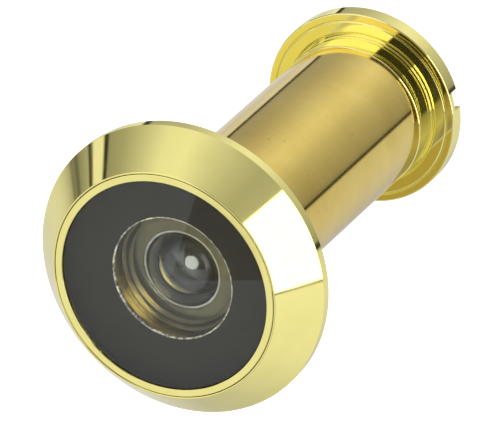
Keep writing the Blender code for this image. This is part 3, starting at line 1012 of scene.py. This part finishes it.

# The tent's brightness round the axis, as (degrees from +X towards +Z, level), for light that comes from
# beside the head, from the room's side and from the street's side. They are entered one by one.
TENT_FRONT = [
    (0.0, 3.2), (42.2, 3.2), (43.2, 0.50), (59.0, 0.46), (75.0, 0.58), (91.0, 0.76), (106.0, 0.96),
    (120.0, 0.90), (134.0, 0.62), (147.0, 0.41), (155.4, 0.34), (155.8, 0.03), (158.4, 0.03),
    (158.9, 0.94), (165.6, 0.92), (166.0, 0.03), (167.4, 0.03), (168.0, 0.46), (175.0, 0.28),
    (176.4, 0.06), (177.8, 0.26), (179.8, 0.26), (180.3, 0.08), (180.9, 0.34), (190.0, 0.72),
    (217.0, 0.74), (250.0, 0.56), (278.0, 0.72), (300.0, 0.90), (343.6, 1.00), (344.6, 0.04),
    (345.8, 3.2),
]
TENT_REAR = [
    (0.0, 0.42), (22.0, 0.54), (42.0, 0.68), (62.0, 0.90), (78.0, 0.98), (92.0, 0.88), (112.0, 0.69),
    (132.0, 0.53), (160.0, 0.44), (161.2, 0.03), (166.0, 0.03), (167.0, 0.92), (187.0, 0.72),
    (196.0, 0.78), (217.0, 0.72), (230.0, 0.74), (250.0, 0.56), (262.0, 0.60), (292.0, 0.76),
    (320.0, 0.82), (348.5, 0.76), (349.7, 0.04), (353.8, 0.04), (355.0, 0.38),
]
TENT_NEAR = [
    (0.0, 0.06), (22.0, 0.04), (94.0, 0.04), (96.0, 1.35), (168.0, 1.30), (180.0, 0.85), (198.0, 0.80),
    (215.0, 0.92), (240.0, 0.92), (252.0, 0.40), (276.0, 0.42), (300.0, 0.62), (324.0, 0.42),
    (333.0, 0.30), (337.0, 0.07),
]


def tent_ramp(tree, turn, stops):
    """A ramp round the axis from (degrees, brightness) stops. The brightest stop is the ramp's white,
    and the ramp is multiplied by it after."""
    most = max(level for _, level in stops)
    ramp = add_node(tree, "ShaderNodeValToRGB", {}, {"Fac": turn})
    colours = ramp.color_ramp
    for at, (degrees, level) in enumerate(stops):
        stop = colours.elements[at] if at < 2 else colours.elements.new(degrees / 360)
        stop.position = degrees / 360
        stop.color = (level / most, level / most, level / most, 1)
    return add_node(
        tree, "ShaderNodeMath", {"operation": "MULTIPLY", 1: most}, {0: ramp.outputs["Color"]}
    ).outputs[0]


def tent_world(scene):
    """A white light tent with seams, dark on the camera's side, as a function of direction alone."""
    world = bpy.data.worlds.new("light tent")
    world.use_nodes = True
    tree = world.node_tree
    tree.nodes.clear()
    way = add_node(tree, "ShaderNodeTexCoord").outputs["Generated"]
    parts = add_node(tree, "ShaderNodeSeparateXYZ", {}, {0: way})
    turn = add_node(
        tree, "ShaderNodeMath", {"operation": "ARCTAN2"}, {0: parts.outputs["Z"], 1: parts.outputs["X"]}
    )
    turn = add_node(tree, "ShaderNodeMath", {"operation": "DIVIDE", 1: math.tau}, {0: turn.outputs[0]})
    turn = add_node(tree, "ShaderNodeMath", {"operation": "FRACT"}, {0: turn.outputs[0]})
    front = tent_ramp(tree, turn.outputs[0], TENT_FRONT)
    rear = tent_ramp(tree, turn.outputs[0], TENT_REAR)
    behind = add_node(
        tree, "ShaderNodeMapRange", {"From Min": 0.25, "From Max": 0.38}, {"Value": parts.outputs["Y"]},
    )
    walls = add_node(
        tree, "ShaderNodeMix", {"data_type": "FLOAT"}, {0: behind.outputs["Result"], 2: front, 3: rear}
    )
    near = add_node(
        tree, "ShaderNodeMapRange", {"From Min": -0.50, "From Max": -0.58}, {"Value": parts.outputs["Y"]},
    )
    end = add_node(
        tree, "ShaderNodeMix", {"data_type": "FLOAT"},
        {0: near.outputs["Result"], 2: walls.outputs[0], 3: tent_ramp(tree, turn.outputs[0], TENT_NEAR)},
    )
    # All walls meet on the axis, where one soft grey takes over.
    steep = add_node(tree, "ShaderNodeMath", {"operation": "ABSOLUTE"}, {0: parts.outputs["Y"]})
    middle = add_node(
        tree, "ShaderNodeMapRange", {"From Min": 0.90, "From Max": 0.97}, {"Value": steep.outputs[0]},
    )
    room = add_node(
        tree, "ShaderNodeMix", {"data_type": "FLOAT", 3: POLE_LEVEL},
        {0: middle.outputs["Result"], 2: end.outputs[0]},
    )
    backdrop = add_node(tree, "ShaderNodeBackground", {"Color": (1, 1, 1, 1)}, {"Strength": room.outputs[0]})
    output = add_node(tree, "ShaderNodeOutputWorld", {}, {"Surface": backdrop.outputs[0]})
    scene.world = world
    return output


class VIEWER_OT_studio(bpy.types.Operator):
    """Makes the camera, the pale floor, the light tent, the round lamp and two cards that only mirrors see"""

    bl_idname = "viewer.studio"
    bl_label = "Studio"

    def execute(self, context):
        studio = context.scene.viewer_studio
        a, e = studio.azimuth, studio.elevation
        right = Vector((math.cos(a), math.sin(a), 0))
        ahead = Vector((-math.sin(a) * math.cos(e), math.cos(a) * math.cos(e), -math.sin(e)))
        up = right.cross(ahead)
        camera = bpy.data.objects.new("camera", bpy.data.cameras.new("camera"))
        context.collection.objects.link(camera)
        front = Vector((0, HEAD_FRONT * MM, 0))
        camera.location = front + studio.aside * right + studio.above * up - studio.distance * ahead
        camera.rotation_euler = Matrix((right, up, -ahead)).transposed().to_euler()
        camera.data.sensor_width = 36.0
        camera.data.lens = studio.lens
        camera.data.clip_start = 0.01
        camera.data.clip_end = 20.0
        context.scene.camera = camera
        tent_world(context.scene)
        self.make_floor(context, studio)
        self.make_lamp(context, front, ahead, right, up)
        self.make_cards(context, ahead)
        context.scene.view_settings.view_transform = "Standard"
        return {"FINISHED"}

    def make_floor(self, context, studio):
        low = -HEAD_RADIUS * MM - studio.floor_drop
        corners = FLOOR_REACH * np.array([(-1, -1, 0), (1, -1, 0), (1, 1, 0), (-1, 1, 0)]) + (0, 0, low)
        mesh = bpy.data.meshes.new("floor")
        mesh.from_pydata(corners, [], [(0, 1, 2, 3)])
        floor = bpy.data.objects.new("floor", mesh)
        context.collection.objects.link(floor)
        # Matt paper with a faint mottle, which glows a little, so that it stays an even white.
        material, tree, output = new_material("white paper sweep")
        paper = add_node(
            tree, "ShaderNodeTexNoise", {"Scale": 1.0, "Detail": 2.0},
            {"Vector": stretched_coordinates(tree, 60.0, 60.0)},
        )
        tint = add_node(
            tree, "ShaderNodeMix", {"data_type": "RGBA", 6: linear("#fbfbfa"), 7: linear("#f6f6f5")},
            {0: paper.outputs["Fac"]},
        )
        shader = add_node(
            tree, "ShaderNodeBsdfPrincipled",
            {"Roughness": 0.9, "Emission Color": (1, 1, 1, 1), "Emission Strength": 0.6},
            {"Base Color": tint.outputs[2]},
        )
        tree.links.new(shader.outputs["BSDF"], output.inputs["Surface"])
        mesh.materials.append(material)
        floor.visible_glossy = False

    def make_cards(self, context, ahead):
        """Two cards that only mirrors see, each where a flat face mirrors it: a gold one for the interior
        flange's seat, and a grey wedge for the front glass. The mirrored direction is the view, with its
        share along the axis turned round."""
        away = Vector((ahead.x, -ahead.y, ahead.z))
        turn = np.linspace(0, math.tau, 64, endpoint=False)
        side = away.cross(Vector((0, 1, 0))).normalized()
        other = away.cross(side)
        seat = FLANGE_REAR * MM - context.scene.viewer_flange.thickness
        centre = Vector((0, seat, 0)) + GOLD_CARD_FAR * away
        disc = [centre + GOLD_CARD_RADIUS * (math.cos(t) * side + math.sin(t) * other) for t in turn]
        self.make_card(context, "gold card", disc, away, DULL_GOLD, BRIGHT_GOLD, centre)
        glass = GLASS_FRONT * MM
        arc = np.radians(np.linspace(*GREY_CARD_ARC, 24))
        wedge = [(0.0, 0.0)] + [(GREY_CARD_RADIUS * math.cos(t), GREY_CARD_RADIUS * math.sin(t)) for t in arc]
        flag = [Vector((x, glass, z)) + GREY_CARD_FAR * away for x, z in wedge]
        self.make_card(context, "grey card", flag, away, WARM_GREY, WARM_GREY, centre)

    def make_card(self, context, name, corners, away, shade, upper, centre):
        """A flat card that glows on the side facing the object, from shade at the lower right to upper at
        the upper left of its centre, and that light passes from behind."""
        mesh = bpy.data.meshes.new(name)
        mesh.from_pydata(corners, [], [tuple(range(len(corners)))])
        if mesh.polygons[0].normal.dot(away) > 0:
            mesh.flip_normals()
        card = bpy.data.objects.new(name, mesh)
        context.collection.objects.link(card)
        material, tree, output = new_material(name + " paint")
        where = add_node(tree, "ShaderNodeTexCoord").outputs["Object"]
        across = Vector((-0.5, 0, 0.866))
        height = add_node(tree, "ShaderNodeVectorMath", {"operation": "DOT_PRODUCT", 1: across}, {0: where})
        level = centre.dot(across)
        grade = add_node(
            tree, "ShaderNodeMapRange", {"From Min": level - 0.004, "From Max": level + 0.007},
            {"Value": height.outputs["Value"]},
        )
        blend = add_node(
            tree, "ShaderNodeMix", {"data_type": "RGBA", 6: shade, 7: upper}, {0: grade.outputs["Result"]}
        )
        glow = add_node(tree, "ShaderNodeEmission", {}, {"Color": blend.outputs[2]})
        clear = add_node(tree, "ShaderNodeBsdfTransparent")
        facing = add_node(tree, "ShaderNodeNewGeometry")
        shader = add_node(
            tree, "ShaderNodeMixShader", {},
            {0: facing.outputs["Backfacing"], 1: glow.outputs[0], 2: clear.outputs[0]},
        )
        tree.links.new(shader.outputs[0], output.inputs["Surface"])
        mesh.materials.append(material)
        for ray in ("camera", "diffuse", "shadow", "transmission"):
            setattr(card, "visible_" + ray, False)

    def make_lamp(self, context, front, ahead, right, up):
        light = bpy.data.lights.new("round lamp", "AREA")
        light.shape = "DISK"
        light.size = LAMP_WIDTH
        light.energy = LAMP_POWER
        light.color = LAMP_COLOUR
        lamp = bpy.data.objects.new("round lamp", light)
        context.collection.objects.link(lamp)
        lamp.location = front - LAMP_NEARER * ahead - LAMP_LEFT * right - LAMP_DOWN * up
        lamp.rotation_euler = (lamp.location - front).to_track_quat("Z", "Y").to_euler()
        lamp.visible_camera = False
        # The lamp is only for the highlight on the lenses.
        glasses = bpy.data.collections.new("lit by the round lamp")
        for name in ("front_glass", "second_glass", "third_glass", "eye_glass"):
            glasses.objects.link(bpy.data.objects[name])
        lamp.light_linking.receiver_collection = glasses


# --- Panel and registration ---------------------------------------------------------------------------

STEPS = ("head", "bezel", "front_glass", "lens_stack", "sleeve", "flange", "eyepiece", "studio")


class VIEWER_PT_panel(bpy.types.Panel):
    """Lists the steps that make the door viewer"""

    bl_idname = "VIEWER_PT_panel"
    bl_label = "Door Viewer"
    bl_space_type = "VIEW_3D"
    bl_region_type = "UI"
    bl_category = "Door Viewer"

    def draw(self, context):
        for step in STEPS:
            self.layout.operator(f"viewer.{step}")


GROUPS = {
    "viewer_head": HeadSettings,
    "viewer_thread": ThreadSettings,
    "viewer_glass": GlassSettings,
    "viewer_flange": FlangeSettings,
    "viewer_finish": FinishSettings,
    "viewer_studio": StudioSettings,
}
CLASSES = (
    *GROUPS.values(),
    VIEWER_OT_head,
    VIEWER_OT_bezel,
    VIEWER_OT_front_glass,
    VIEWER_OT_lens_stack,
    VIEWER_OT_sleeve,
    VIEWER_OT_flange,
    VIEWER_OT_eyepiece,
    VIEWER_OT_studio,
    VIEWER_PT_panel,
)


def register():
    for item in CLASSES:
        bpy.utils.register_class(item)
    for name, group in GROUPS.items():
        setattr(bpy.types.Scene, name, bpy.props.PointerProperty(type=group))


def unregister():
    for name in GROUPS:
        delattr(bpy.types.Scene, name)
    for item in reversed(CLASSES):
        bpy.utils.unregister_class(item)


def main():
    register()
    for step in STEPS:
        getattr(bpy.ops.viewer, step)()


if __name__ == "__main__":
    main()
